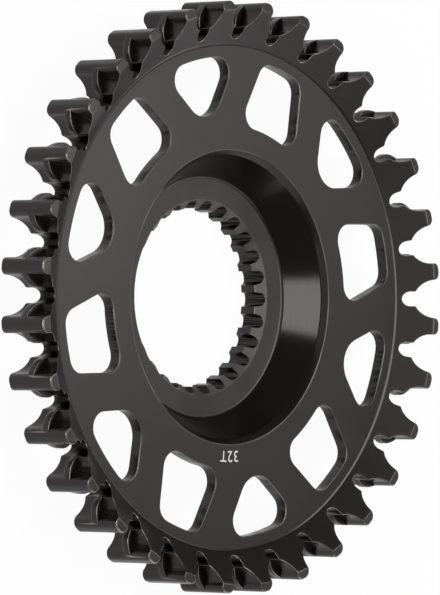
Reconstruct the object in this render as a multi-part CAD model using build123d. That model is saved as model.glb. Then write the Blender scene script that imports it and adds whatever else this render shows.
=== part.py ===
from build123d import *

import os
from math import asin, atan2, cos, dist, pi, radians, sin, sqrt, tan

# Belt drive sprocket, machined from one blank: toothed rim with a centre fin, windowed disc, dished hub
# and splined bore. Millimetres. The axis is +Z with the front face up. The origin is the centre of the hub's
# rear face, on which the sprocket lies. One broad window and one tooth space are centred on +X.

# Belt and teeth
TOOTH_COUNT = 32
BELT_PITCH = 11.0
CORD_HEIGHT = 0.82            # belt's tension cords above the tooth tips
TOOTH_WIDTH = 10.95           # along the axis, at the tips
BELT_LINE_OFFSET = 0.12       # middle of the teeth in front of the disc's middle
TIP_FLAT = 1.75               # flat at each end of a tooth, measured inwards from the tip
TIP_LAND = 0.7                # flat along the tip, between its rounds
TIP_ROUND = 1.25
SPACE_CENTRE_DROP = 1.34      # centre of the round tooth space below the tips
SLOT_WIDTH = 2.8              # mud slot at the foot of each tooth space
SLOT_DEPTH = 7.0              # bottom of the mud slot below the tips
RIM_DEPTH = 8.05              # foot of the flared rim below the tips

# Flats that stand for the rounds on one side of a tooth space, so that the teeth stay light
SLOT_FLAT_COUNT = 3
SPACE_FLAT_COUNT = 4
TIP_FLAT_COUNT = 2

# Centre fin between the tooth flanks
FIN_THICKNESS = 1.5
FIN_FOOT_DROP = 3.6           # start of the fin's slanted end, below the tips
FIN_CORNER_DROP = 1.8         # end of that slant, below the tips
FIN_CORNER_SETBACK = 0.95     # the same corner, back from the mud slot's wall

# Dished hub
HUB_HEIGHT = 13.0             # rear face of the hub to the front face of the disc
SEAT_HEIGHT = 5.5             # front seat of the splined ring above the hub's rear face
SEAT_LAND = 3.5               # flat of the seat, outside the spline's lead-in
SEAT_BEVEL = 0.85
DISH_FLARE = 4.75             # dish's rim outside its foot
DISH_BEVEL = 1.0
HUB_FOOT_LAND = 1.9           # flat of the hub's rear face, outside the spline's lead-in
HUB_SHOULDER_WALL = 3.25      # hub's outer shoulder outside the foot of the dish
HUB_SHOULDER_HEIGHT = 5.7
HUB_ROOT_WALL = 1.5           # hub's outside, where it meets the disc, outside the dish's rim

# Splined bore
SPLINE_COUNT = 26
SPLINE_TIP_RADIUS = 16.75
SPLINE_DEPTH = 1.45
SPLINE_GROOVE_WIDTH = 2.4     # at the middle of the groove's depth
SPLINE_FLANK_SLANT = 12.0     # degrees from the groove's centreline
SPLINE_TURN = 1.6             # degrees from the window's centreline to a groove
LEAD_IN_LAND = 0.2            # start of the lead-in outside the spline's root
LEAD_IN_ANGLE = 45.0          # degrees from the seat
REAR_LEAD_IN_LAND = 0.2
REAR_LEAD_IN_ANGLE = 15.0

# Disc and its windows
DISC_THICKNESS = 2.4
WINDOW_PAIRS = 6              # broad windows, with as many narrow ones between them
WINDOW_RIM_LAND = 2.3         # disc between the windows and the flared rim
BROAD_FOOT_LAND = 4.6         # disc between the dish and a broad window
BROAD_SIDE_OFFSET = 13.6      # distance of a broad window's straight side from the axis
BROAD_SIDE_SLANT = 10.5       # degrees from the window's centreline, closing outwards
SPOKE_WIDTH = 6.0             # between a broad window and a narrow one
NARROW_SIDE_SLANT = 38.8      # degrees from the window's centreline, opening outwards
NARROW_FOOT_ROUND = 4.9
WINDOW_ROUND = 3.0
ROUND_LIMIT = 0.22            # share of a window's height that a corner's round may take
FOOT_ROUND_LIMIT = 0.35

# Places worked out from the sizes above
OVERCUT = 2.0                 # how far a cutting shape runs past the metal
TIP_RADIUS = TOOTH_COUNT * BELT_PITCH / (2 * pi) - CORD_HEIGHT
HALF_PITCH = pi / TOOTH_COUNT
BELT_LINE = HUB_HEIGHT - DISC_THICKNESS / 2 + BELT_LINE_OFFSET
DISC_REAR = HUB_HEIGHT - DISC_THICKNESS
RIM_FOOT_RADIUS = TIP_RADIUS - RIM_DEPTH
SPLINE_ROOT_RADIUS = SPLINE_TIP_RADIUS + SPLINE_DEPTH
LEAD_IN_RADIUS = SPLINE_ROOT_RADIUS + LEAD_IN_LAND
REAR_LEAD_IN_RADIUS = SPLINE_ROOT_RADIUS + REAR_LEAD_IN_LAND
SEAT_RADIUS = LEAD_IN_RADIUS + SEAT_LAND
DISH_FOOT_RADIUS = SEAT_RADIUS + SEAT_BEVEL
DISH_RADIUS = DISH_FOOT_RADIUS + DISH_FLARE
HUB_ROOT_RADIUS = DISH_RADIUS + HUB_ROOT_WALL
WINDOW_TOP_RADIUS = RIM_FOOT_RADIUS - WINDOW_RIM_LAND
BROAD_FOOT_RADIUS = DISH_RADIUS + BROAD_FOOT_LAND
NARROW_SIDE_OFFSET = BROAD_SIDE_OFFSET + SPOKE_WIDTH


def round_points(centre, radius, start, end, flats):
    """Points along a round stretch about a centre, from one angle to another, joined by flats."""
    turns = [start + (end - start) * number / flats for number in range(flats + 1)]
    return [(centre[0] + radius * cos(turn), centre[1] + radius * sin(turn)) for turn in turns]


def tooth_space_side(with_fin):
    """One side of a tooth space on +X, from the slot's bottom on its centreline to the next tooth's tip."""
    half_slot = SLOT_WIDTH / 2
    slot_centre = (TIP_RADIUS - SLOT_DEPTH + half_slot, 0)
    slot = round_points(slot_centre, half_slot, pi, pi / 2, SLOT_FLAT_COUNT)

    # The tip's round touches the tip circle from inside, and the round space touches the tip's round.
    tip_turn = HALF_PITCH - TIP_LAND / 2 / TIP_RADIUS
    tip_reach = TIP_RADIUS - TIP_ROUND
    tip_centre = (tip_reach * cos(tip_turn), tip_reach * sin(tip_turn))
    space_centre = (TIP_RADIUS - SPACE_CENTRE_DROP, 0)
    space_radius = dist(space_centre, tip_centre) - TIP_ROUND
    towards_tip = atan2(tip_centre[1], tip_centre[0] - space_centre[0])
    tip = round_points(tip_centre, TIP_ROUND, towards_tip - pi, tip_turn, TIP_FLAT_COUNT)

    if with_fin:
        fin_end = [
            (TIP_RADIUS - FIN_FOOT_DROP, half_slot),
            (TIP_RADIUS - FIN_CORNER_DROP, half_slot + FIN_CORNER_SETBACK),
        ]
        return slot + fin_end + tip[TIP_FLAT_COUNT // 2:]
    space_start = pi - asin(half_slot / space_radius)
    space = round_points(space_centre, space_radius, space_start, towards_tip, SPACE_FLAT_COUNT)
    return slot + space + tip[1:]


def toothed_face(with_fin):
    """Whole toothed outline seen along the axis, with the first tooth space on +X."""
    side = tooth_space_side(with_fin)
    space = [(x, -y) for x, y in reversed(side)] + side[1:]
    turns = [2 * HALF_PITCH * number for number in range(TOOTH_COUNT)]
    points = [
        (x * cos(turn) - y * sin(turn), x * sin(turn) + y * cos(turn)) for turn in turns for x, y in space
    ]
    return make_face(Polyline(*points, close=True))


def rim_recess(foot_height):
    """Recess of one face inside the teeth, above the belt line: a flared wall, two flats to each tooth."""
    turns = [HALF_PITCH * number for number in range(2 * TOOTH_COUNT)]
    foot_ring = (RIM_FOOT_RADIUS, foot_height)
    mouth_ring = (TIP_RADIUS - TIP_FLAT, TOOTH_WIDTH / 2)
    foot, mouth = [
        [(radius * cos(turn), radius * sin(turn), height) for turn in turns]
        for radius, height in (foot_ring, mouth_ring)
    ]
    corners = zip(foot, foot[1:] + foot[:1], mouth[1:] + mouth[:1], mouth)
    return Solid(Shell([make_face(Polyline(*flat, close=True)).face() for flat in [foot, mouth, *corners]]))


def toothed_rim():
    """Teeth and disc: a toothed plate, recessed on both faces, with the fin left whole at the belt line."""
    plate = extrude(Pos(0, 0, -TOOTH_WIDTH / 2) * toothed_face(False), TOOTH_WIDTH)
    fin = extrude(Pos(0, 0, -FIN_THICKNESS / 2) * toothed_face(True), FIN_THICKNESS)
    front = rim_recess(HUB_HEIGHT - BELT_LINE)
    rear = rim_recess(BELT_LINE - DISC_REAR).mirror(Plane.XY)
    rim = plate - front - rear + fin - Cylinder(HUB_ROOT_RADIUS, TOOTH_WIDTH)
    return Pos(0, 0, BELT_LINE) * rim


def hub():
    """Turned hub, out to where it meets the disc: a half section, radius by height, revolved."""
    lead_in_depth = (LEAD_IN_RADIUS - SPLINE_TIP_RADIUS) * tan(radians(LEAD_IN_ANGLE))
    rear_lead_in_depth = (REAR_LEAD_IN_RADIUS - SPLINE_TIP_RADIUS) * tan(radians(REAR_LEAD_IN_ANGLE))
    outline = [
        (SPLINE_TIP_RADIUS, rear_lead_in_depth),
        (REAR_LEAD_IN_RADIUS, 0),
        (REAR_LEAD_IN_RADIUS + HUB_FOOT_LAND, 0),
        (DISH_FOOT_RADIUS + HUB_SHOULDER_WALL, HUB_SHOULDER_HEIGHT),
        (HUB_ROOT_RADIUS, DISC_REAR),
        (HUB_ROOT_RADIUS, HUB_HEIGHT),
        (DISH_RADIUS, HUB_HEIGHT),
        (DISH_RADIUS - DISH_BEVEL, HUB_HEIGHT - DISH_BEVEL),
        (DISH_FOOT_RADIUS, SEAT_HEIGHT - SEAT_BEVEL),
        (SEAT_RADIUS, SEAT_HEIGHT),
        (LEAD_IN_RADIUS, SEAT_HEIGHT),
        (SPLINE_TIP_RADIUS, SEAT_HEIGHT - lead_in_depth),
    ]
    return revolve(Plane.XZ * make_face(Polyline(*outline, close=True)), Axis.Z)


def side_line(offset, slant):
    """Straight side of a window: a line at a distance from the axis, slanted to the centreline on +X."""
    turn = radians(slant)
    foot = (offset * sin(turn), offset * cos(turn))
    return foot, (cos(turn), -sin(turn))


def meet_circle(line, radius):
    """Outer point where a line meets a circle about the axis."""
    (foot_x, foot_y), (run_x, run_y) = line
    reach = sqrt(radius ** 2 - foot_x ** 2 - foot_y ** 2)
    return foot_x + reach * run_x, foot_y + reach * run_y


def broad_window():
    """Four-sided window on +X: two arcs about the axis and two straight sides that close outwards."""
    side = side_line(BROAD_SIDE_OFFSET, BROAD_SIDE_SLANT)
    top = meet_circle(side, WINDOW_TOP_RADIUS)
    foot = meet_circle(side, BROAD_FOOT_RADIUS)
    outline = [
        ThreePointArc((top[0], -top[1]), (WINDOW_TOP_RADIUS, 0), top),
        Line(top, foot),
        ThreePointArc(foot, (BROAD_FOOT_RADIUS, 0), (foot[0], -foot[1])),
        Line((foot[0], -foot[1]), (top[0], -top[1])),
    ]
    face = make_face(outline)
    height = WINDOW_TOP_RADIUS - BROAD_FOOT_RADIUS
    return fillet(face.vertices(), min(WINDOW_ROUND, ROUND_LIMIT * height))


def narrow_window():
    """Three-sided window on +X: an arc about the axis, and straight sides that open from a round foot."""
    foot_radius = NARROW_SIDE_OFFSET / sin(radians(NARROW_SIDE_SLANT))
    top = meet_circle(side_line(-NARROW_SIDE_OFFSET, -NARROW_SIDE_SLANT), WINDOW_TOP_RADIUS)
    outline = [
        ThreePointArc((top[0], -top[1]), (WINDOW_TOP_RADIUS, 0), top),
        Line(top, (foot_radius, 0)),
        Line((foot_radius, 0), (top[0], -top[1])),
    ]
    face = make_face(outline)
    height = WINDOW_TOP_RADIUS - foot_radius
    face = fillet(face.vertices().sort_by(Axis.X)[1:], min(WINDOW_ROUND, ROUND_LIMIT * height))
    return fillet(face.vertices().sort_by(Axis.X)[:1], min(NARROW_FOOT_ROUND, FOOT_ROUND_LIMIT * height))


def window_cutters():
    """Broad and narrow windows in turn, through the disc."""
    step = 360 / WINDOW_PAIRS
    faces = [broad_window(), narrow_window().rotate(Axis.Z, step / 2)]
    depth = DISC_THICKNESS + 2 * OVERCUT
    cutters = [extrude(Pos(0, 0, DISC_REAR - OVERCUT) * face, depth) for face in faces]
    return [cutter.rotate(Axis.Z, number * step) for number in range(WINDOW_PAIRS) for cutter in cutters]


def spline_cutters():
    """Grooves of the splined bore: slanted flanks and a flat root."""
    middle = SPLINE_TIP_RADIUS + SPLINE_DEPTH / 2
    spread = tan(radians(SPLINE_FLANK_SLANT))
    mouth_radius = SPLINE_TIP_RADIUS - OVERCUT

    def half_width(radius):
        return SPLINE_GROOVE_WIDTH / 2 + (middle - radius) * spread

    root = half_width(SPLINE_ROOT_RADIUS)
    mouth = half_width(mouth_radius)
    flank = [(SPLINE_ROOT_RADIUS, root), (mouth_radius, mouth)]
    outline = [(x, -y) for x, y in reversed(flank)] + flank
    face = make_face(Polyline(*outline, close=True))
    groove = extrude(Pos(0, 0, -OVERCUT) * face, SEAT_HEIGHT + 2 * OVERCUT)
    step = 360 / SPLINE_COUNT
    return [groove.rotate(Axis.Z, SPLINE_TURN + number * step) for number in range(SPLINE_COUNT)]


def belt_sprocket():
    return toothed_rim() + hub() - window_cutters() - spline_cutters()


os.makedirs("parts", exist_ok=True)
export_step(belt_sprocket(), "parts/belt_sprocket.step")
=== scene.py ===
import bmesh
import bpy
import numpy as np
from mathutils import Matrix, Vector


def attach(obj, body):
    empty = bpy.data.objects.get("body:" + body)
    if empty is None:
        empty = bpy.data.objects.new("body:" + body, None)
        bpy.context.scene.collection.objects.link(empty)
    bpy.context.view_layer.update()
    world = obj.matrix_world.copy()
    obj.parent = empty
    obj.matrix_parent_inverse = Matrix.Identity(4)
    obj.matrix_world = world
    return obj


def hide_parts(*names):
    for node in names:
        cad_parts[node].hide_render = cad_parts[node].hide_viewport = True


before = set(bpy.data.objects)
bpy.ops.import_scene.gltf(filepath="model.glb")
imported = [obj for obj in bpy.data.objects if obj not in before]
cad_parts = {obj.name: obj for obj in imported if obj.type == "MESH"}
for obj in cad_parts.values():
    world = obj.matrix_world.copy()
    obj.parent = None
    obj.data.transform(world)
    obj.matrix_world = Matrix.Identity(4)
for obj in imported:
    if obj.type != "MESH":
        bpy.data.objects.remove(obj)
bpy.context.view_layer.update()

MM = 0.001

# Teeth, in millimetres and radians, as are all sizes of the sprocket
TOOTH_COUNT = 32
TIP_RADIUS = 55.2
TOOTH_WIDTH = 10.95
TIP_FLAT = 1.75
TIP_TAPER = 0.14
TIP_LAND = 0.7
TIP_ROUND = 1.25
SPACE_CENTRE_RADIUS = TIP_RADIUS - 1.34
SLOT_WIDTH = 2.8
SLOT_BOTTOM_RADIUS = TIP_RADIUS - 7.0
MOUTH_ROUND = 0.2
MOUTH_TURN = 0.06
RIM_FOOT_RADIUS = TIP_RADIUS - 8.05
RIM_FILLET = 0.36
FLARE_EDGE = 0.14

# Centre fin
FIN_THICKNESS = 1.5
FIN_FOOT_RADIUS = TIP_RADIUS - 4.0
FIN_CORNER_RADIUS = TIP_RADIUS - 2.1
FIN_EDGE_FADE = 4

# Disc and windows
DISC_FRONT = 13.0
DISC_THICKNESS = 2.4
DISC_REAR = DISC_FRONT - DISC_THICKNESS
BELT_OFFSET = 0.12
BELT_LINE = DISC_FRONT - DISC_THICKNESS / 2 + BELT_OFFSET
WINDOW_PAIRS = 6
WINDOW_TOP_RADIUS = 44.85
WINDOW_ROUND = 3.0
BROAD_FOOT_RADIUS = 32.1
BROAD_SIDE_OFFSET = 13.6
BROAD_SIDE_SLANT = np.radians(10.5)
NARROW_SIDE_OFFSET = 19.6
NARROW_SIDE_SLANT = np.radians(38.8)
NARROW_FOOT_ROUND = 4.9

# Hub and spline
DISH_RADIUS = 27.5
DISH_BEVEL = 1.0
DISH_FOOT_RADIUS = 22.61
DISH_FILLET = 0.45
SEAT_HEIGHT = 5.5
HUB_FOOT_RADIUS = 20.3
HUB_SHOULDER_RADIUS = 26.0
HUB_SHOULDER_HEIGHT = 5.7
HUB_ROOT_RADIUS = 29.0
HUB_FILLET = 0.8
SHOULDER_ROUND = 0.5
HUB_FOOT_ROUND = 0.3
SPLINE_COUNT = 26
SPLINE_TIP_RADIUS = 16.75
SPLINE_ROOT_RADIUS = 18.2
SPLINE_GROOVE_WIDTH = 2.4
SPLINE_FLANK_SLANT = np.radians(12.0)
SPLINE_ROOT_ROUND = 1.8
SPLINE_CORNER_CUT = 0.45
SPLINE_TURN = np.radians(1.6)
LEAD_IN_RADIUS = 18.4
LEAD_IN_SLOPE = np.tan(np.radians(45.0))
LEAD_IN_MARGIN = 0.1
LEAD_IN_SOFTENING = 0.02
LEAD_IN_FIRST_ROW = 0.03
REAR_LEAD_IN_RADIUS = 18.4
REAR_LEAD_IN_SLOPE = np.tan(np.radians(15.0))

# Broken edges
TOOTH_BREAK = 0.16
TIP_BREAK = 0.34
FIN_BREAK = 0.14
WINDOW_BREAK = 0.22
SPLINE_BREAK = 0.12
TURNED_BREAK = 0.16

# Tooth count mark
MARK_RADIUS = 28.7
MARK_HEIGHT = 2.1
CAPITAL_SHARE = 0.7
MARK_SPACING = 1.1
MARK_CURVE_STEPS = 4
MARK_RELIEF = 0.008
MARK_TURN = np.radians(-102.0)

# Columns and steps of the grids: the rim's foot and the windows' tops share one ring,
# and the dish and the spline share another
HALF_PITCH = np.pi / TOOTH_COUNT
HALF_SPLINE = np.pi / SPLINE_COUNT
TOOTH_COLUMNS = 3
SPLINE_COLUMNS = 6
RIM_STEP = HALF_PITCH / TOOTH_COLUMNS
HUB_STEP = HALF_SPLINE / SPLINE_COLUMNS
BROAD_TOP_STEPS, NARROW_TOP_STEPS = 6, 10
BROAD_FOOT_STEPS, NARROW_FOOT_STEPS = 23, 3
CORNER_STEPS, SIDE_STEPS = 8, 6
BREAK_STEPS = 3
FLARE_STEPS = 8
SLOT_STEPS, MOUTH_STEPS, SPACE_STEPS = 9, 3, 8
LOWER_TIP_STEPS, UPPER_TIP_STEPS = 4, 5
UPRIGHT_STEPS = 3
CROWN_STEPS, GROOVE_CORNER_STEPS, GROOVE_FLANK_STEPS = 3, 5, 3

# Where rows lie, as shares: over the flare's edge, over the rim's foot and out from a window
FLARE_EDGE_ROWS = np.array([-0.85, -0.4, 0, 0.45, 1.0])
RIM_FOOT_ROWS = np.array([-1, -0.5, 0, 0.45, 0.84])
FLARE_FIRST_ROW = 0.55
FIELD_ROWS = np.array([0, 0.04, 0.5, 1])[:, None, None]

# Welding and shading of the mesh
WELD_DISTANCE = 0.004
SLIVER_LENGTH = 0.002
SHARP_ANGLE = np.radians(50)
FLAT_FACE_WEIGHT = 80

# Rows across a broken edge: only the two in its middle are worn
EDGE_ROWS = np.array([0, 1, 1, 0])[:, None]

# Wear, from dyed at 0 to bare metal at 1
FLANK_WEAR = 0.75
FLARE_EDGE_WEAR = 0.45
WINDOW_WEAR = 0.6
DISH_RIM_WEAR, HUB_FOOT_WEAR = 0.35, 1.0
SEAT_WEAR = 0.05
LEAD_IN_WEAR = 0.4
SPLINE_EDGE_WEAR = np.array([0, 0.3, 0.4, LEAD_IN_WEAR])[:, None]

# Polish, from matt at 0 to bright at 1, and rougher than matt below 0
EDGE_POLISH = 0.8 * EDGE_ROWS
TURNED_EDGE_POLISH = 0.8
WALL_POLISH = 0.85
TIP_FLAT_POLISH = -0.5
SEAT_POLISH = -0.7
LEAD_IN_POLISH = -1.4

# Painted shade in recesses, from none at 0 to dark at 1; a window's wall goes from its front to its rear
SLOT_PAINTED_SHADE = 0.9
GROOVE_PAINTED_SHADE = 1.0
WINDOW_PAINTED_SHADE = np.array([0.95, 0.0])[:, None]


# Curves in the plane, as arrays of points

def arc(centre, radius, start, end, steps):
    """Points on a circle: centre plus radius times the cosine and sine of evenly spaced angles."""
    turn = np.linspace(start, end, steps + 1)
    return np.stack([centre[0] + radius * np.cos(turn), centre[1] + radius * np.sin(turn)], -1)


def line(start, end, steps):
    """Evenly spaced points on a straight run."""
    share = np.linspace(0, 1, steps + 1)[:, None]
    return (1 - share) * np.asarray(start, float) + share * np.asarray(end, float)


def corner_curve(start, corner, end, steps):
    """Quadratic curve that leaves start towards the corner and arrives at end from it.

    The inputs may be whole arrays of points: the curve's steps become the first axis.
    """
    start, corner, end = (np.asarray(point, float) for point in (start, corner, end))
    share = np.linspace(0, 1, steps + 1).reshape((-1,) + (1,) * start.ndim)
    return (1 - share) ** 2 * start + 2 * share * (1 - share) * corner + share ** 2 * end


def joined(*runs):
    """Runs end to end, each one's first point left out where it repeats the last point before it."""
    return np.concatenate([runs[0]] + [run[1:] for run in runs[1:]])


def metal_side(points):
    """Unit normals of a run of points, turned a quarter turn to the left of its direction."""
    along = np.gradient(points, axis=0)
    along /= np.linalg.norm(along, axis=1, keepdims=True)
    return np.stack([-along[:, 1], along[:, 0]], -1)


def softened(profile, cuts):
    """Profile of radius and height with each inner corner cut back and replaced by a quadratic curve."""
    profile = np.asarray(profile, float)
    runs = [profile[:1]]
    for before, corner, after, cut in zip(profile, profile[1:], profile[2:], cuts):
        back = (before - corner) / np.linalg.norm(before - corner)
        ahead = (after - corner) / np.linalg.norm(after - corner)
        runs.append(corner_curve(corner + cut * back, corner, corner + cut * ahead, BREAK_STEPS))
    return np.concatenate(runs + [profile[-1:]])


# Grids gathered into one mesh

GRIDS = []
FINISH_AND_SHADE_NAMES = ("broken_edge", "polish", "painted_shade")


def add_grid(points, wear, polish=0.0, painted_shade=0.0):
    """Keeps a grid of points, rows by columns by three, and how far each is worn, polished and darkened by
    painted shade.
    """
    finish_and_shade = [np.broadcast_to(np.asarray(value, float), points.shape[:2]) for value in (wear, polish, painted_shade)]
    GRIDS.append((points, finish_and_shade))


def add_turned(points, wear, count, turn=0.0, polish=0.0, painted_shade=0.0):
    """Keeps a grid of half a sector and its mirror image, repeated round the axis."""
    mirrored = points * np.array([1, -1, 1])
    for number in range(count):
        angle = turn + 2 * np.pi * number / count
        cosine, sine = np.cos(angle), np.sin(angle)
        spin = np.array([[cosine, sine, 0], [-sine, cosine, 0], [0, 0, 1]])
        add_grid(points @ spin, wear, polish, painted_shade)
        add_grid(mirrored @ spin, wear, polish, painted_shade)


def flat(points, height):
    """Points in the plane raised to a height, which may differ from point to point."""
    height = np.broadcast_to(np.asarray(height, float), points.shape[:-1])
    return np.concatenate([points, height[..., None]], -1)


def swept(radius, turn):
    """Points in the plane from radii and angles."""
    return np.stack([radius * np.cos(turn), radius * np.sin(turn)], -1)


def mesh_from_grids(name):
    """One closed mesh: the quads of every grid, welded where grids meet, with wear, polish and painted shade
    as attributes.
    """
    corners, quads, finishes_and_shade, base = [], [], [], 0
    for points, finish_and_shade in GRIDS:
        rows, columns = points.shape[:2]
        index = base + np.arange(rows * columns).reshape(rows, columns)
        ring = [index[:-1, :-1], index[:-1, 1:], index[1:, 1:], index[1:, :-1]]
        quads.append(np.stack(ring, -1).reshape(-1, 4))
        corners.append(points.reshape(-1, 3))
        finishes_and_shade.append(np.stack(finish_and_shade).reshape(len(FINISH_AND_SHADE_NAMES), -1))
        base += rows * columns
    mesh = bpy.data.meshes.new(name)
    mesh.from_pydata(np.concatenate(corners) * MM, [], np.concatenate(quads).tolist())
    for attribute, values in zip(FINISH_AND_SHADE_NAMES, np.concatenate(finishes_and_shade, 1)):
        layer = mesh.attributes.new(attribute, "FLOAT", "POINT")
        layer.data.foreach_set("value", values.astype(np.float32))
    solid = bmesh.new()
    solid.from_mesh(mesh)
    bmesh.ops.remove_doubles(solid, verts=solid.verts, dist=WELD_DISTANCE * MM)
    bmesh.ops.dissolve_degenerate(solid, edges=solid.edges, dist=SLIVER_LENGTH * MM)
    bmesh.ops.recalc_face_normals(solid, faces=solid.faces)
    solid.to_mesh(mesh)
    solid.free()
    mesh.polygons.foreach_set("use_smooth", np.ones(len(mesh.polygons), bool))
    mesh.set_sharp_from_angle(angle=SHARP_ANGLE)
    return mesh


# Toothed rim

def flare_height(radius, side):
    """Height of one face above the belt line.

    Outwards it is the level disc, a soft foot, a straight flare, a soft edge and the tapered tip.
    """
    disc = DISC_FRONT - BELT_LINE if side > 0 else BELT_LINE - DISC_REAR
    tip = TOOTH_WIDTH / 2
    edge_radius = TIP_RADIUS - TIP_FLAT
    slope = (tip - disc) / (edge_radius - RIM_FOOT_RADIUS)
    foot = np.array([RIM_FOOT_RADIUS, disc])
    edge = np.array([edge_radius, tip])
    along = np.array([1, slope]) / np.hypot(1, slope)
    foot_curve = corner_curve(foot - [RIM_FILLET, 0], foot, foot + RIM_FILLET * along, FLARE_STEPS)
    edge_curve = corner_curve(edge - FLARE_EDGE * along, edge, edge + [FLARE_EDGE, 0], FLARE_STEPS)
    profile = np.concatenate([foot_curve, edge_curve, [(TIP_RADIUS, tip - TIP_TAPER)]])
    return np.interp(radius, profile[:, 0], profile[:, 1])


def tooth_chains():
    """Half outline of a tooth space: slot, flank and tip, with the fin's edge that spans the flank.

    The space's centreline is +X. The slot is a half circle and a straight wall, the flank is the round
    space, and the tip is a round that touches the space and the tip circle. The fin leaves the tip at the
    middle of its round.
    """
    half_slot = SLOT_WIDTH / 2
    slot_centre = (SLOT_BOTTOM_RADIUS + half_slot, 0)
    space_centre = np.array([SPACE_CENTRE_RADIUS, 0])
    tip_turn = HALF_PITCH - TIP_LAND / 2 / TIP_RADIUS
    tip_centre = swept(TIP_RADIUS - TIP_ROUND, tip_turn)
    reach = tip_centre - space_centre
    space_radius = np.hypot(*reach) - TIP_ROUND
    towards_tip = np.arctan2(reach[1], reach[0])
    space_start = np.pi - np.arcsin(half_slot / space_radius)
    mouth = space_centre + space_radius * np.array([np.cos(space_start), np.sin(space_start)])

    # The flank has points where its break crosses the flare's edge, so that the edge stays crisp there.
    inset = space_radius + TOOTH_BREAK
    edge_radii = TIP_RADIUS - TIP_FLAT + FLARE_EDGE * FLARE_EDGE_ROWS
    level = (edge_radii ** 2 - SPACE_CENTRE_RADIUS ** 2 - inset ** 2) / (2 * SPACE_CENTRE_RADIUS * inset)
    turns = np.linspace(space_start - MOUTH_TURN, towards_tip, SPACE_STEPS + 1)
    turns = np.sort(np.concatenate([turns, np.arccos(level)]))[::-1]
    space = space_centre + space_radius * np.stack([np.cos(turns), np.sin(turns)], -1)
    tip_middle = (towards_tip - np.pi + tip_turn) / 2

    slot = joined(
        arc(slot_centre, half_slot, np.pi, np.pi / 2, SLOT_STEPS),
        line((slot_centre[0], half_slot), mouth - [MOUTH_ROUND, 0], 1))
    flank = joined(
        corner_curve(slot[-1], mouth, space[0], MOUTH_STEPS), space,
        arc(tip_centre, TIP_ROUND, towards_tip - np.pi, tip_middle, LOWER_TIP_STEPS))
    tip = arc(tip_centre, TIP_ROUND, tip_middle, tip_turn, UPPER_TIP_STEPS)
    land = arc((0, 0), TIP_RADIUS, tip_turn, HALF_PITCH, TOOTH_COLUMNS)

    fin_foot = (FIN_FOOT_RADIUS, half_slot)
    upright = line(slot[-1], fin_foot, UPRIGHT_STEPS)
    fin_end = corner_curve(fin_foot, (FIN_CORNER_RADIUS, half_slot), flank[-1], len(flank) - len(upright))
    return slot, flank, tip, land, joined(upright, fin_end)


def broken_rim(outer, inner, depth, side):
    """Rounded break from a wall to a face, as a quadratic curve.

    Its rows go from the wall, below the edge, over the edge and in along the face.
    """
    edge_height = flare_height(np.hypot(*outer.T), side)
    face_height = flare_height(np.hypot(*inner.T), side)
    below, edge, face = flat(outer, edge_height - depth), flat(outer, edge_height), flat(inner, face_height)
    return corner_curve(below, edge, face, BREAK_STEPS) * np.array([1, 1, side]) + [0, 0, BELT_LINE]


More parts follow.
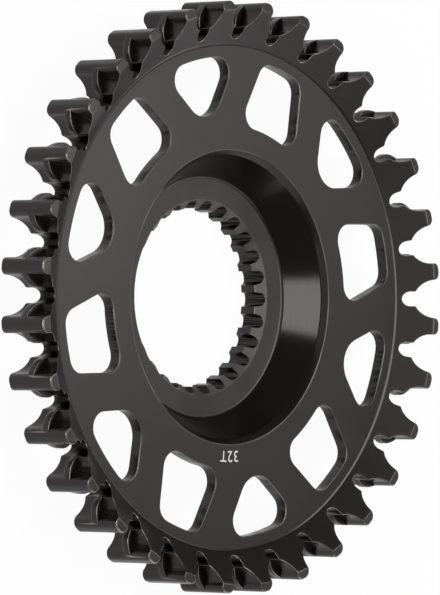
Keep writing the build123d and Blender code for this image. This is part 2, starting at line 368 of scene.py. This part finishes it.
def toothed_rim():
    """Flared faces, tooth walls and fin.

    A face's rows follow the radius of the tooth outline, moved into the metal by the edge's break, and its
    columns go from the outline to the tooth's middle. Walls are the outline carried along the axis. The fin
    is a thin plate between the flank and its own edge.
    """
    slot, flank, tip, land, fin = tooth_chains()
    outline = joined(slot, flank, tip, land)
    outline_radii = np.hypot(*outline.T)
    along_tip = np.clip((outline_radii - SPACE_CENTRE_RADIUS) / (TIP_RADIUS - SPACE_CENTRE_RADIUS), 0, 1)
    depth = TOOTH_BREAK + (TIP_BREAK - TOOTH_BREAK) * along_tip
    inward = metal_side(outline)
    inward[0] = (-1, 0)
    inward[-TOOTH_COLUMNS - 1:] = -land / TIP_RADIUS
    inner = outline + depth[:, None] * inward
    half_fin = FIN_THICKNESS / 2

    face_edge = inner[:-TOOTH_COLUMNS]
    foot_radii = RIM_FOOT_RADIUS + np.append(RIM_FILLET * RIM_FOOT_ROWS, FLARE_FIRST_ROW)
    radii = np.concatenate([foot_radii, np.hypot(*face_edge.T)])
    starts = np.concatenate([np.zeros(len(foot_radii)), np.arctan2(face_edge[:, 1], face_edge[:, 0])])
    share = np.linspace(0, 1, TOOTH_COLUMNS + 1)
    turns = starts[:, None] * (1 - share) + HALF_PITCH * share
    grid_radii = np.broadcast_to(radii[:, None], turns.shape)

    # The flare's edge is worn, the rim's foot polished and the tooth's end flat matt.
    face_wear = FLARE_EDGE_WEAR * np.clip(1 - abs(radii - TIP_RADIUS + TIP_FLAT) / FLARE_EDGE, 0, 1)[:, None]
    foot_polish = np.clip(2 - 2 * abs(radii - RIM_FOOT_RADIUS) / RIM_FILLET, 0, 1)
    face_polish = np.where(radii > TIP_RADIUS - TIP_FLAT, TIP_FLAT_POLISH, foot_polish)[:, None]
    break_wear = EDGE_ROWS * (FLANK_WEAR + (1 - FLANK_WEAR) * along_tip)

    first_flank, first_tip = len(slot) - 1, len(slot) + len(flank) - 2
    # The slot's walls get painted shade, a darkening that stands in for the shade in the slot.
    slot_painted_shade = SLOT_PAINTED_SHADE * (np.arange(len(outline)) <= first_flank)
    for side in (1, -1):
        upright = np.array([1, 1, side])
        face = flat(swept(grid_radii, turns), flare_height(grid_radii, side)) * upright + [0, 0, BELT_LINE]
        add_turned(face, face_wear, TOOTH_COUNT, polish=face_polish)
        add_turned(broken_rim(outline, inner, depth, side), break_wear, TOOTH_COUNT, polish=EDGE_POLISH)
        wall_height = flare_height(outline_radii, side) - depth
        walls = np.stack([flat(outline, half_fin), flat(outline, wall_height)]) * upright + [0, 0, BELT_LINE]
        add_turned(walls, 0.0, TOOTH_COUNT, polish=WALL_POLISH, painted_shade=slot_painted_shade)
    band = np.array([-half_fin, half_fin])[:, None]
    # The slot's middle band gets the same painted shade; the tip's band gets none.
    for run, painted_shade in ((outline[:first_flank + 1], SLOT_PAINTED_SHADE), (outline[first_tip:], 0.0)):
        middle = flat(np.stack([run, run]), BELT_LINE + band)
        add_turned(middle, 0.0, TOOTH_COUNT, polish=WALL_POLISH, painted_shade=painted_shade)

    # The fin's broken edge fades out at both ends.
    fade = np.clip(FIN_EDGE_FADE * np.sin(np.linspace(0, np.pi, len(fin))), 0, 1)
    fin_depth = FIN_BREAK * fade
    fin_inner = fin + fin_depth[:, None] * metal_side(fin)
    for side in (1, -1):
        edge = corner_curve(
            flat(fin, half_fin - fin_depth), flat(fin, half_fin), flat(fin_inner, half_fin), BREAK_STEPS)
        upright = np.array([1, 1, side])
        add_turned(edge * upright + [0, 0, BELT_LINE], EDGE_ROWS, TOOTH_COUNT, polish=EDGE_POLISH)
        plate = np.stack([fin_inner, (fin_inner + flank) / 2, flank])
        add_turned(flat(plate, half_fin) * upright + [0, 0, BELT_LINE], 0.0, TOOTH_COUNT)
    top = np.stack([flat(fin, BELT_LINE - half_fin + fin_depth), flat(fin, BELT_LINE + half_fin - fin_depth)])
    add_turned(top, 0.0, TOOTH_COUNT)


# Windowed disc

def fillet_centre(offset, slant, radius):
    """Centre of a corner's round: where a line at a distance from the axis, slanted to +X, meets a circle."""
    foot = offset * np.array([np.sin(slant), np.cos(slant)])
    return foot + np.sqrt(radius ** 2 - offset ** 2) * np.array([np.cos(slant), -np.sin(slant)])


def angle_of(point):
    """Angle of a point about the axis, from +X."""
    return np.arctan2(point[1], point[0])


def broad_outline():
    """Half a broad window from the middle of its top: arc, corner, straight side, corner, arc."""
    offset = BROAD_SIDE_OFFSET - WINDOW_ROUND
    normal = np.pi / 2 - BROAD_SIDE_SLANT
    top = fillet_centre(offset, BROAD_SIDE_SLANT, WINDOW_TOP_RADIUS - WINDOW_ROUND)
    foot = fillet_centre(offset, BROAD_SIDE_SLANT, BROAD_FOOT_RADIUS + WINDOW_ROUND)
    upper = arc(top, WINDOW_ROUND, angle_of(top), normal, CORNER_STEPS)
    lower = arc(foot, WINDOW_ROUND, normal, angle_of(foot) + np.pi, CORNER_STEPS)
    return joined(
        arc((0, 0), WINDOW_TOP_RADIUS, 0, angle_of(top), BROAD_TOP_STEPS), upper,
        line(upper[-1], lower[0], SIDE_STEPS), lower,
        arc((0, 0), BROAD_FOOT_RADIUS, angle_of(foot), 0, BROAD_FOOT_STEPS))


def narrow_outline():
    """Half a narrow window from the middle of its top: arc, corner, straight side, round foot."""
    normal = np.pi / 2 + NARROW_SIDE_SLANT
    offset = -NARROW_SIDE_OFFSET - WINDOW_ROUND
    top = fillet_centre(offset, -NARROW_SIDE_SLANT, WINDOW_TOP_RADIUS - WINDOW_ROUND)
    foot = ((NARROW_SIDE_OFFSET + NARROW_FOOT_ROUND) / np.sin(NARROW_SIDE_SLANT), 0)
    upper = arc(top, WINDOW_ROUND, angle_of(top), normal, CORNER_STEPS)
    lower = arc(foot, NARROW_FOOT_ROUND, normal, np.pi, CORNER_STEPS + NARROW_FOOT_STEPS)
    return joined(
        arc((0, 0), WINDOW_TOP_RADIUS, 0, angle_of(top), NARROW_TOP_STEPS), upper,
        line(upper[-1], lower[0], SIDE_STEPS), lower)


def field_edge(outer_radius, inner_radius, top_steps, foot_steps):
    """Half the edge of a window's own field of the disc: rim ring, straight line down the spoke, hub ring."""
    rim = arc((0, 0), outer_radius, 0, top_steps * RIM_STEP, top_steps)
    ring = arc((0, 0), inner_radius, foot_steps * HUB_STEP, 0, foot_steps)
    return joined(rim, line(rim[-1], ring[0], 2 * CORNER_STEPS + SIDE_STEPS), ring)


def windowed_disc(front_radius, rear_radius):
    """Both faces of the disc and the windows' walls.

    Each window has a field of the disc, bounded by the rim's ring, two spoke lines and the hub's ring. A
    face's rows go straight from the window's broken edge to the field's edge. A wall is the outline carried
    through the disc.
    """
    rim_radius = RIM_FOOT_RADIUS - RIM_FILLET
    kinds = (
        (broad_outline(), BROAD_TOP_STEPS, BROAD_FOOT_STEPS, 0.0),
        (narrow_outline(), NARROW_TOP_STEPS, NARROW_FOOT_STEPS, np.pi / WINDOW_PAIRS))
    for outline, top_steps, foot_steps, turn in kinds:
        normal = metal_side(outline)
        normal *= np.sign((normal[0] * outline[0]).sum())
        normal[0], normal[-1] = (1, 0), (-1, 0)
        opened = outline + WINDOW_BREAK * normal
        for height, side, ring in ((DISC_FRONT, -1, front_radius), (DISC_REAR, 1, rear_radius)):
            edge = field_edge(rim_radius, ring, top_steps, foot_steps)
            face = (1 - FIELD_ROWS) * opened + FIELD_ROWS * edge
            add_turned(flat(face, height), 0.0, WINDOW_PAIRS, turn)
            below = flat(outline, height + side * WINDOW_BREAK)
            bevel = corner_curve(flat(opened, height), flat(outline, height), below, BREAK_STEPS)
            add_turned(bevel, WINDOW_WEAR * EDGE_ROWS, WINDOW_PAIRS, turn, polish=EDGE_POLISH)
        # The window's wall gets painted shade, dark at its front and none at its rear.
        wall = np.stack([flat(outline, DISC_FRONT - WINDOW_BREAK), flat(outline, DISC_REAR + WINDOW_BREAK)])
        add_turned(wall, 0.0, WINDOW_PAIRS, turn, WALL_POLISH, WINDOW_PAINTED_SHADE)


# Hub and spline

def revolved(profile, wear, polish):
    """Profile of radius and height carried round the axis.

    Its columns turn from the disc's place to the spline's along the profile.
    """
    run = np.append(0, np.cumsum(np.linalg.norm(np.diff(profile, axis=0), axis=1)))
    columns = np.arange(2 * SPLINE_COUNT * SPLINE_COLUMNS + 1) * HUB_STEP
    turn = SPLINE_TURN * (run / run[-1])[:, None] + columns
    radius = np.broadcast_to(profile[:, :1], turn.shape)
    add_grid(flat(swept(radius, turn), profile[:, 1:]), wear[:, None], polish[:, None])


def hub(front_radius, rear_radius):
    """Turned faces of the hub: the dish and seat in front, the boss behind."""
    front = softened([
        (front_radius, DISC_FRONT),
        (DISH_RADIUS, DISC_FRONT),
        (DISH_RADIUS - DISH_BEVEL, DISC_FRONT - DISH_BEVEL),
        (DISH_FOOT_RADIUS, SEAT_HEIGHT),
        (LEAD_IN_RADIUS + LEAD_IN_MARGIN, SEAT_HEIGHT),
        (LEAD_IN_RADIUS, SEAT_HEIGHT),
    ], [TURNED_BREAK, TURNED_BREAK, DISH_FILLET, LEAD_IN_SOFTENING])
    rear = softened([
        (rear_radius, DISC_REAR),
        (HUB_ROOT_RADIUS, DISC_REAR),
        (HUB_SHOULDER_RADIUS, HUB_SHOULDER_HEIGHT),
        (HUB_FOOT_RADIUS, 0),
        (REAR_LEAD_IN_RADIUS, 0),
    ], [HUB_FILLET, SHOULDER_ROUND, HUB_FOOT_ROUND])
    sides = (
        (front, (DISH_RADIUS, DISC_FRONT), DISH_RIM_WEAR),
        (rear, (HUB_FOOT_RADIUS, 0), HUB_FOOT_WEAR))
    for profile, rim, wear in sides:
        radius, height = profile.T
        worn = wear * np.clip(2 - 2 * np.hypot(*(profile - rim).T) / TURNED_BREAK, 0, 1)
        seat = (height == SEAT_HEIGHT) & (radius < DISH_FOOT_RADIUS)
        dish = (height > SEAT_HEIGHT) & (height < DISC_FRONT - DISH_BEVEL / 2) & (profile is front)
        shiny = np.where(seat, SEAT_POLISH, np.maximum(dish, TURNED_EDGE_POLISH * worn))
        revolved(profile, np.where(seat, SEAT_WEAR, worn), shiny)


def spline():
    """Lead-ins and grooves of the bore.

    Half a groove runs from its root's middle over a soft corner down a slanted flank to the tip land. A
    lead-in's rows follow the groove's radius, and its columns go from the groove to the tooth's middle.
    """
    middle = (SPLINE_TIP_RADIUS + SPLINE_ROOT_RADIUS) / 2
    spread = np.tan(SPLINE_FLANK_SLANT)
    root = np.array([SPLINE_ROOT_RADIUS, SPLINE_GROOVE_WIDTH / 2 + (middle - SPLINE_ROOT_RADIUS) * spread])
    down = np.array([-np.cos(SPLINE_FLANK_SLANT), np.sin(SPLINE_FLANK_SLANT)])
    tip_run = (SPLINE_ROOT_RADIUS - SPLINE_TIP_RADIUS) / np.cos(SPLINE_FLANK_SLANT)
    tip = root + down * tip_run
    tip *= SPLINE_TIP_RADIUS / np.hypot(*tip)
    crown_turn = np.arcsin((root[1] - SPLINE_CORNER_CUT) / SPLINE_ROOT_ROUND)
    crown = arc((SPLINE_ROOT_RADIUS - SPLINE_ROOT_ROUND, 0), SPLINE_ROOT_ROUND, 0, crown_turn, CROWN_STEPS)
    bend = root + down * SPLINE_CORNER_CUT / 2
    bend_end = bend + SPLINE_CORNER_CUT * down
    corner = joined(crown, corner_curve(crown[-1], bend, bend_end, GROOVE_CORNER_STEPS))
    flank = line(corner[-1], tip, GROOVE_FLANK_STEPS)
    land = arc((0, 0), SPLINE_TIP_RADIUS, angle_of(tip), HALF_SPLINE, SPLINE_COLUMNS)
    outline = joined(corner, flank, land)
    inward = -metal_side(outline)
    inward[0] = (1, 0)
    inward[-SPLINE_COLUMNS - 1:] = land / SPLINE_TIP_RADIUS
    inner = outline + SPLINE_BREAK * inward
    face_edge = inner[:-SPLINE_COLUMNS]

    def front_height(radius):
        """Cone that falls from the seat towards the axis."""
        return SEAT_HEIGHT - np.clip(LEAD_IN_RADIUS - radius, 0, None) * LEAD_IN_SLOPE

    def rear_height(radius):
        """Cone that rises from the hub's foot towards the axis."""
        return np.clip(REAR_LEAD_IN_RADIUS - radius, 0, None) * REAR_LEAD_IN_SLOPE

    share = np.linspace(0, 1, SPLINE_COLUMNS + 1)
    ends = (front_height, LEAD_IN_RADIUS, -1), (rear_height, REAR_LEAD_IN_RADIUS, 1)
    walls = []
    for height_at, start_radius, side in ends:
        radii = np.append([start_radius, start_radius - LEAD_IN_FIRST_ROW], np.hypot(*face_edge.T))
        starts = np.append([0, 0], np.arctan2(face_edge[:, 1], face_edge[:, 0]))
        turns = starts[:, None] * (1 - share) + HALF_SPLINE * share
        grid_radii = np.broadcast_to(radii[:, None], turns.shape)
        lead_in = flat(swept(grid_radii, turns), height_at(grid_radii))
        add_turned(lead_in, LEAD_IN_WEAR, SPLINE_COUNT, SPLINE_TURN, LEAD_IN_POLISH)
        top = flat(outline, height_at(np.hypot(*outline.T)))
        wall = top + [0, 0, side * SPLINE_BREAK]
        bevel = corner_curve(wall, top, flat(inner, height_at(np.hypot(*inner.T))), BREAK_STEPS)
        add_turned(bevel, SPLINE_EDGE_WEAR, SPLINE_COUNT, SPLINE_TURN, polish=EDGE_POLISH)
        walls.append(wall)
    # The grooves' walls get painted shade; the tips' lands get none.
    groove_painted_shade = GROOVE_PAINTED_SHADE * (np.hypot(*outline.T) > SPLINE_TIP_RADIUS + SPLINE_BREAK)
    add_turned(np.stack(walls), 0.0, SPLINE_COUNT, SPLINE_TURN, WALL_POLISH, groove_painted_shade)


def machined_sprocket():
    """Whole sprocket as one mesh, with larger faces weighing more in its shading so that flats stay flat."""
    front_radius = DISH_RADIUS + TURNED_BREAK
    rear_radius = HUB_ROOT_RADIUS + HUB_FILLET
    toothed_rim()
    windowed_disc(front_radius, rear_radius)
    hub(front_radius, rear_radius)
    spline()
    piece = bpy.data.objects.new("machined_sprocket", mesh_from_grids("machined_sprocket"))
    bpy.context.scene.collection.objects.link(piece)
    shading = piece.modifiers.new("flat_faces", "WEIGHTED_NORMAL")
    shading.mode = "FACE_AREA"
    shading.weight = FLAT_FACE_WEIGHT
    shading.keep_sharp = True
    return piece


def tooth_count_mark():
    """Flat letters wrapped round the axis: their line becomes an arc, and a letter's height a radius."""
    letters = bpy.data.curves.new("tooth_count_mark", "FONT")
    letters.body = f"{TOOTH_COUNT}T"
    letters.align_x = "CENTER"
    letters.size = MARK_HEIGHT / CAPITAL_SHARE
    letters.space_character = MARK_SPACING
    letters.resolution_u = MARK_CURVE_STEPS
    letters.extrude = MARK_RELIEF
    drawn = bpy.data.objects.new("tooth_count_letters", letters)
    mesh = bpy.data.meshes.new_from_object(drawn)
    mesh.name = "tooth_count_mark"
    bpy.data.objects.remove(drawn)
    bpy.data.curves.remove(letters)
    points = np.empty(3 * len(mesh.vertices))
    mesh.vertices.foreach_get("co", points)
    along, up, out = points.reshape(-1, 3).T
    turn = MARK_TURN - along / (MARK_RADIUS + MARK_HEIGHT / 2)
    wrapped = flat(swept(MARK_RADIUS + up, turn), DISC_FRONT + out)
    mesh.vertices.foreach_set("co", wrapped.reshape(-1) * MM)
    mesh.update()
    piece = bpy.data.objects.new("tooth_count_mark", mesh)
    bpy.context.scene.collection.objects.link(piece)
    return piece


# Materials

def anodised_black():
    """Black anodised coat: fine grain, streaks along the cut, bright walls, paler edges, and painted shade
    that darkens the recesses.
    """
    material = bpy.data.materials.new("anodised_black")
    material.use_nodes = True
    nodes, links = material.node_tree.nodes, material.node_tree.links
    shader = nodes["Principled BSDF"]
    shader.inputs["Specular IOR Level"].default_value = 0.36
    shader.inputs["Specular Tint"].default_value = (1.0, 0.93, 0.935, 1)
    place = nodes.new("ShaderNodeTexCoord")

    # Streaks that run along the axis on tooth faces and walls, and read as fine grain on the flat faces
    stretch = nodes.new("ShaderNodeMapping")
    stretch.inputs["Scale"].default_value = (1, 1, 0.04)
    links.new(place.outputs["Object"], stretch.inputs["Vector"])
    grain = nodes.new("ShaderNodeTexNoise")
    grain.inputs["Scale"].default_value = 3200
    grain.inputs["Detail"].default_value = 3
    links.new(stretch.outputs["Vector"], grain.inputs["Vector"])

    # Turning marks: noise along the distance from the axis
    across = nodes.new("ShaderNodeVectorMath")
    across.operation = "MULTIPLY"
    across.inputs[1].default_value = (1, 1, 0)
    links.new(place.outputs["Object"], across.inputs[0])
    radius = nodes.new("ShaderNodeVectorMath")
    radius.operation = "LENGTH"
    links.new(across.outputs["Vector"], radius.inputs[0])
    turning = nodes.new("ShaderNodeTexNoise")
    turning.noise_dimensions = "1D"
    turning.inputs["Scale"].default_value = 4500
    turning.inputs["Detail"].default_value = 2
    links.new(radius.outputs["Value"], turning.inputs["W"])

    # Slow unevenness of the dye
    cloud = nodes.new("ShaderNodeTexNoise")
    cloud.inputs["Scale"].default_value = 90
    cloud.inputs["Detail"].default_value = 3
    links.new(place.outputs["Object"], cloud.inputs["Vector"])

    edge = nodes.new("ShaderNodeAttribute")
    edge.attribute_name = "broken_edge"
    polish = nodes.new("ShaderNodeAttribute")
    polish.attribute_name = "polish"

    rubbed = nodes.new("ShaderNodeMapRange")
    rubbed.inputs["From Min"].default_value = 0.2
    rubbed.inputs["From Max"].default_value = 0.65
    links.new(cloud.outputs["Fac"], rubbed.inputs["Value"])
    paler = nodes.new("ShaderNodeMath")
    paler.operation = "MULTIPLY"
    links.new(edge.outputs["Fac"], paler.inputs[0])
    links.new(rubbed.outputs["Result"], paler.inputs[1])

    dye = nodes.new("ShaderNodeMix")
    dye.data_type = "RGBA"
    dye.inputs["A"].default_value = (0.0058, 0.0044, 0.0040, 1)
    dye.inputs["B"].default_value = (0.0092, 0.0074, 0.0069, 1)
    links.new(cloud.outputs["Fac"], dye.inputs["Factor"])
    colour = nodes.new("ShaderNodeMix")
    colour.data_type = "RGBA"
    colour.inputs["B"].default_value = (0.34, 0.32, 0.30, 1)
    links.new(paler.outputs["Value"], colour.inputs["Factor"])
    links.new(dye.outputs["Result"], colour.inputs["A"])
    links.new(colour.outputs["Result"], shader.inputs["Base Color"])

    # Painted shade: recessed areas are made metallic, so that they reflect only as much as their dark dye and
    # look shaded; worn edges are metallic too
    painted_shade = nodes.new("ShaderNodeAttribute")
    painted_shade.attribute_name = "painted_shade"
    metal = nodes.new("ShaderNodeMath")
    metal.operation = "MAXIMUM"
    links.new(edge.outputs["Fac"], metal.inputs[0])
    links.new(painted_shade.outputs["Fac"], metal.inputs[1])
    links.new(metal.outputs["Value"], shader.inputs["Metallic"])

    matt = nodes.new("ShaderNodeMapRange")
    matt.inputs["From Min"].default_value = 0.25
    matt.inputs["From Max"].default_value = 0.75
    matt.inputs["To Min"].default_value = 0.30
    matt.inputs["To Max"].default_value = 0.40
    links.new(grain.outputs["Fac"], matt.inputs["Value"])
    bright = nodes.new("ShaderNodeMapRange")
    bright.inputs["From Min"].default_value = 0.25
    bright.inputs["From Max"].default_value = 0.75
    bright.inputs["To Min"].default_value = 0.14
    bright.inputs["To Max"].default_value = 0.20
    links.new(turning.outputs["Fac"], bright.inputs["Value"])
    rough = nodes.new("ShaderNodeMix")
    rough.clamp_factor = False
    links.new(polish.outputs["Fac"], rough.inputs["Factor"])
    links.new(matt.outputs["Result"], rough.inputs["A"])
    links.new(bright.outputs["Result"], rough.inputs["B"])
    links.new(rough.outputs["Result"], shader.inputs["Roughness"])

    relief = nodes.new("ShaderNodeMix")
    links.new(polish.outputs["Fac"], relief.inputs["Factor"])
    links.new(grain.outputs["Fac"], relief.inputs["A"])
    links.new(turning.outputs["Fac"], relief.inputs["B"])
    bump = nodes.new("ShaderNodeBump")
    bump.inputs["Strength"].default_value = 0.12
    bump.inputs["Distance"].default_value = 0.00003
    links.new(relief.outputs["Result"], bump.inputs["Height"])
    links.new(bump.outputs["Normal"], shader.inputs["Normal"])
    return material


def etched_silver():
    """Laser etched letters: bare pale metal, finely pitted."""
    material = bpy.data.materials.new("etched_silver")
    material.use_nodes = True
    nodes, links = material.node_tree.nodes, material.node_tree.links
    shader = nodes["Principled BSDF"]
    place = nodes.new("ShaderNodeTexCoord")
    pits = nodes.new("ShaderNodeTexNoise")
    pits.inputs["Scale"].default_value = 5000
    pits.inputs["Detail"].default_value = 2
    links.new(place.outputs["Object"], pits.inputs["Vector"])
    colour = nodes.new("ShaderNodeMix")
    colour.data_type = "RGBA"
    colour.inputs["A"].default_value = (0.50, 0.46, 0.41, 1)
    colour.inputs["B"].default_value = (0.86, 0.80, 0.73, 1)
    links.new(pits.outputs["Fac"], colour.inputs["Factor"])
    links.new(colour.outputs["Result"], shader.inputs["Base Color"])
    rough = nodes.new("ShaderNodeMapRange")
    rough.inputs["To Min"].default_value = 0.45
    rough.inputs["To Max"].default_value = 0.65
    links.new(pits.outputs["Fac"], rough.inputs["Value"])
    links.new(rough.outputs["Result"], shader.inputs["Roughness"])
    return material


# Stage

FOCAL_PIXELS = 6294.9
IMAGE_SIZE = (440, 595)
SENSOR = 36.0
CAMERA_REACH = 20.0
DISC_TILT, DISC_SWING = np.radians(47.76), np.radians(0.23)
DISC_PLACE = np.array([2.08, -0.07, 1173.4])
FACE_TURN = np.radians(-10.85)
FLOOR_REACH = 3.0
FLOOR_WHITE = 0.95


def photo_camera():
    """Camera that looks down on the front face, rolled so that the disc stands upright in the picture.

    The disc's normal and centre are given in the camera's right, down and ahead, and the camera's own place
    follows from them.
    """
    camera = bpy.data.cameras.new("photo_camera")
    camera.sensor_fit = "VERTICAL"
    camera.sensor_height = SENSOR
    camera.lens = FOCAL_PIXELS * SENSOR / IMAGE_SIZE[1]
    camera.clip_end = CAMERA_REACH
    level = np.cos(DISC_SWING)
    normal = np.array([np.sin(DISC_TILT) * level, -np.sin(DISC_SWING), -np.cos(DISC_TILT) * level])
    centre = DISC_PLACE * MM
    in_plane_right = np.cross(np.array([0, -1, 0]), normal)
    in_plane_right /= np.linalg.norm(in_plane_right)
    in_plane_up = np.cross(normal, in_plane_right)
    cosine, sine = np.cos(FACE_TURN), np.sin(FACE_TURN)
    spin = np.array([[cosine, -sine, 0], [sine, cosine, 0], [0, 0, 1]])
    view_to_disc = spin @ np.stack([in_plane_right, in_plane_up, normal])
    place = np.array([0, 0, DISC_FRONT * MM]) - view_to_disc @ centre
    right, down, ahead = view_to_disc.T
    pose = np.eye(4)
    pose[:3, 0], pose[:3, 1], pose[:3, 2], pose[:3, 3] = right, -down, -ahead, place
    viewer = bpy.data.objects.new("photo_camera", camera)
    viewer.matrix_world = Matrix(pose.tolist())
    bpy.context.scene.collection.objects.link(viewer)
    bpy.context.scene.camera = viewer


def pale_floor():
    """Wide flat sheet under the hub: near white to the eye and in reflections, with a soft shadow."""
    far = FLOOR_REACH
    mesh = bpy.data.meshes.new("floor")
    mesh.from_pydata([(-far, -far, 0), (far, -far, 0), (far, far, 0), (-far, far, 0)], [], [(0, 1, 2, 3)])
    floor = bpy.data.objects.new("floor", mesh)
    bpy.context.scene.collection.objects.link(floor)
    material = bpy.data.materials.new("pale_floor")
    material.use_nodes = True
    nodes, links = material.node_tree.nodes, material.node_tree.links
    nodes.clear()
    output = nodes.new("ShaderNodeOutputMaterial")
    matt = nodes.new("ShaderNodeBsdfDiffuse")
    matt.inputs["Color"].default_value = (0.8, 0.8, 0.8, 1)
    glow = nodes.new("ShaderNodeEmission")
    glow.inputs["Color"].default_value = (1, 1, 1, 1)
    glow.inputs["Strength"].default_value = 1.0
    path = nodes.new("ShaderNodeLightPath")
    looked_at = nodes.new("ShaderNodeMath")
    looked_at.operation = "MAXIMUM"
    links.new(path.outputs["Is Camera Ray"], looked_at.inputs[0])
    links.new(path.outputs["Is Transmission Ray"], looked_at.inputs[1])
    seen = nodes.new("ShaderNodeMath")
    seen.operation = "MAXIMUM"
    links.new(looked_at.outputs["Value"], seen.inputs[0])
    links.new(path.outputs["Is Glossy Ray"], seen.inputs[1])
    part = nodes.new("ShaderNodeMath")
    part.operation = "MULTIPLY"
    part.inputs[1].default_value = FLOOR_WHITE
    links.new(seen.outputs["Value"], part.inputs[0])
    blend = nodes.new("ShaderNodeMixShader")
    links.new(part.outputs[0], blend.inputs["Fac"])
    links.new(matt.outputs[0], blend.inputs[1])
    links.new(glow.outputs[0], blend.inputs[2])
    links.new(blend.outputs[0], output.inputs["Surface"])
    mesh.materials.append(material)


def soft_lamp(name, place, aim, size, radiance):
    """Area lamp of a given brightness, placed and aimed in the photograph's right, up and out of the disc."""
    lamp = bpy.data.lights.new(name, "AREA")
    lamp.shape = "RECTANGLE"
    lamp.size, lamp.size_y = size
    lamp.energy = radiance * np.pi * size[0] * size[1]
    turn = Matrix.Rotation(FACE_TURN, 3, "Z")
    place, aim = turn @ Vector(place), turn @ Vector(aim)
    piece = bpy.data.objects.new(name, lamp)
    piece.rotation_euler = (aim - place).to_track_quat("-Z", "Y").to_euler()
    piece.location = place
    bpy.context.scene.collection.objects.link(piece)


def studio():
    """Dim white surroundings and six soft lamps."""
    world = bpy.data.worlds.new("studio")
    world.use_nodes = True
    background = world.node_tree.nodes["Background"]
    background.inputs["Color"].default_value = (1, 1, 1, 1)
    background.inputs["Strength"].default_value = 0.12
    bpy.context.scene.world = world
    bpy.context.scene.view_settings.view_transform = "Standard"
    soft_lamp("overhead", (0.145, 0.06, 0.36), (0, 0.02, 0.013), (0.19, 0.25), 5.6)
    soft_lamp("left_side", (-0.46, 0.06, 0.18), (0.0247, 0, 0.0085), (0.36, 0.13), 6)
    soft_lamp("right_side", (0.5, -0.08, 0.16), (0, 0, 0.01), (0.3, 0.16), 1.2)
    soft_lamp("right_card", (0.42, 0.08, 0.28), (0, 0, 0.013), (0.14, 0.05), 3.4)
    soft_lamp("lower_card", (0.25, -0.32, 0.22), (0.05, 0, 0.05), (0.7, 0.42), 1.0)
    soft_lamp("upper_card", (-0.15, 0.0, 0.5), (0, 0, 0.01), (0.62, 0.5), 0.9)


sprocket = machined_sprocket()
sprocket.data.materials.append(anodised_black())
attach(sprocket, "root")
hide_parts("belt_sprocket")
mark = tooth_count_mark()
mark.data.materials.append(etched_silver())
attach(mark, "root")
photo_camera()
pale_floor()
studio()
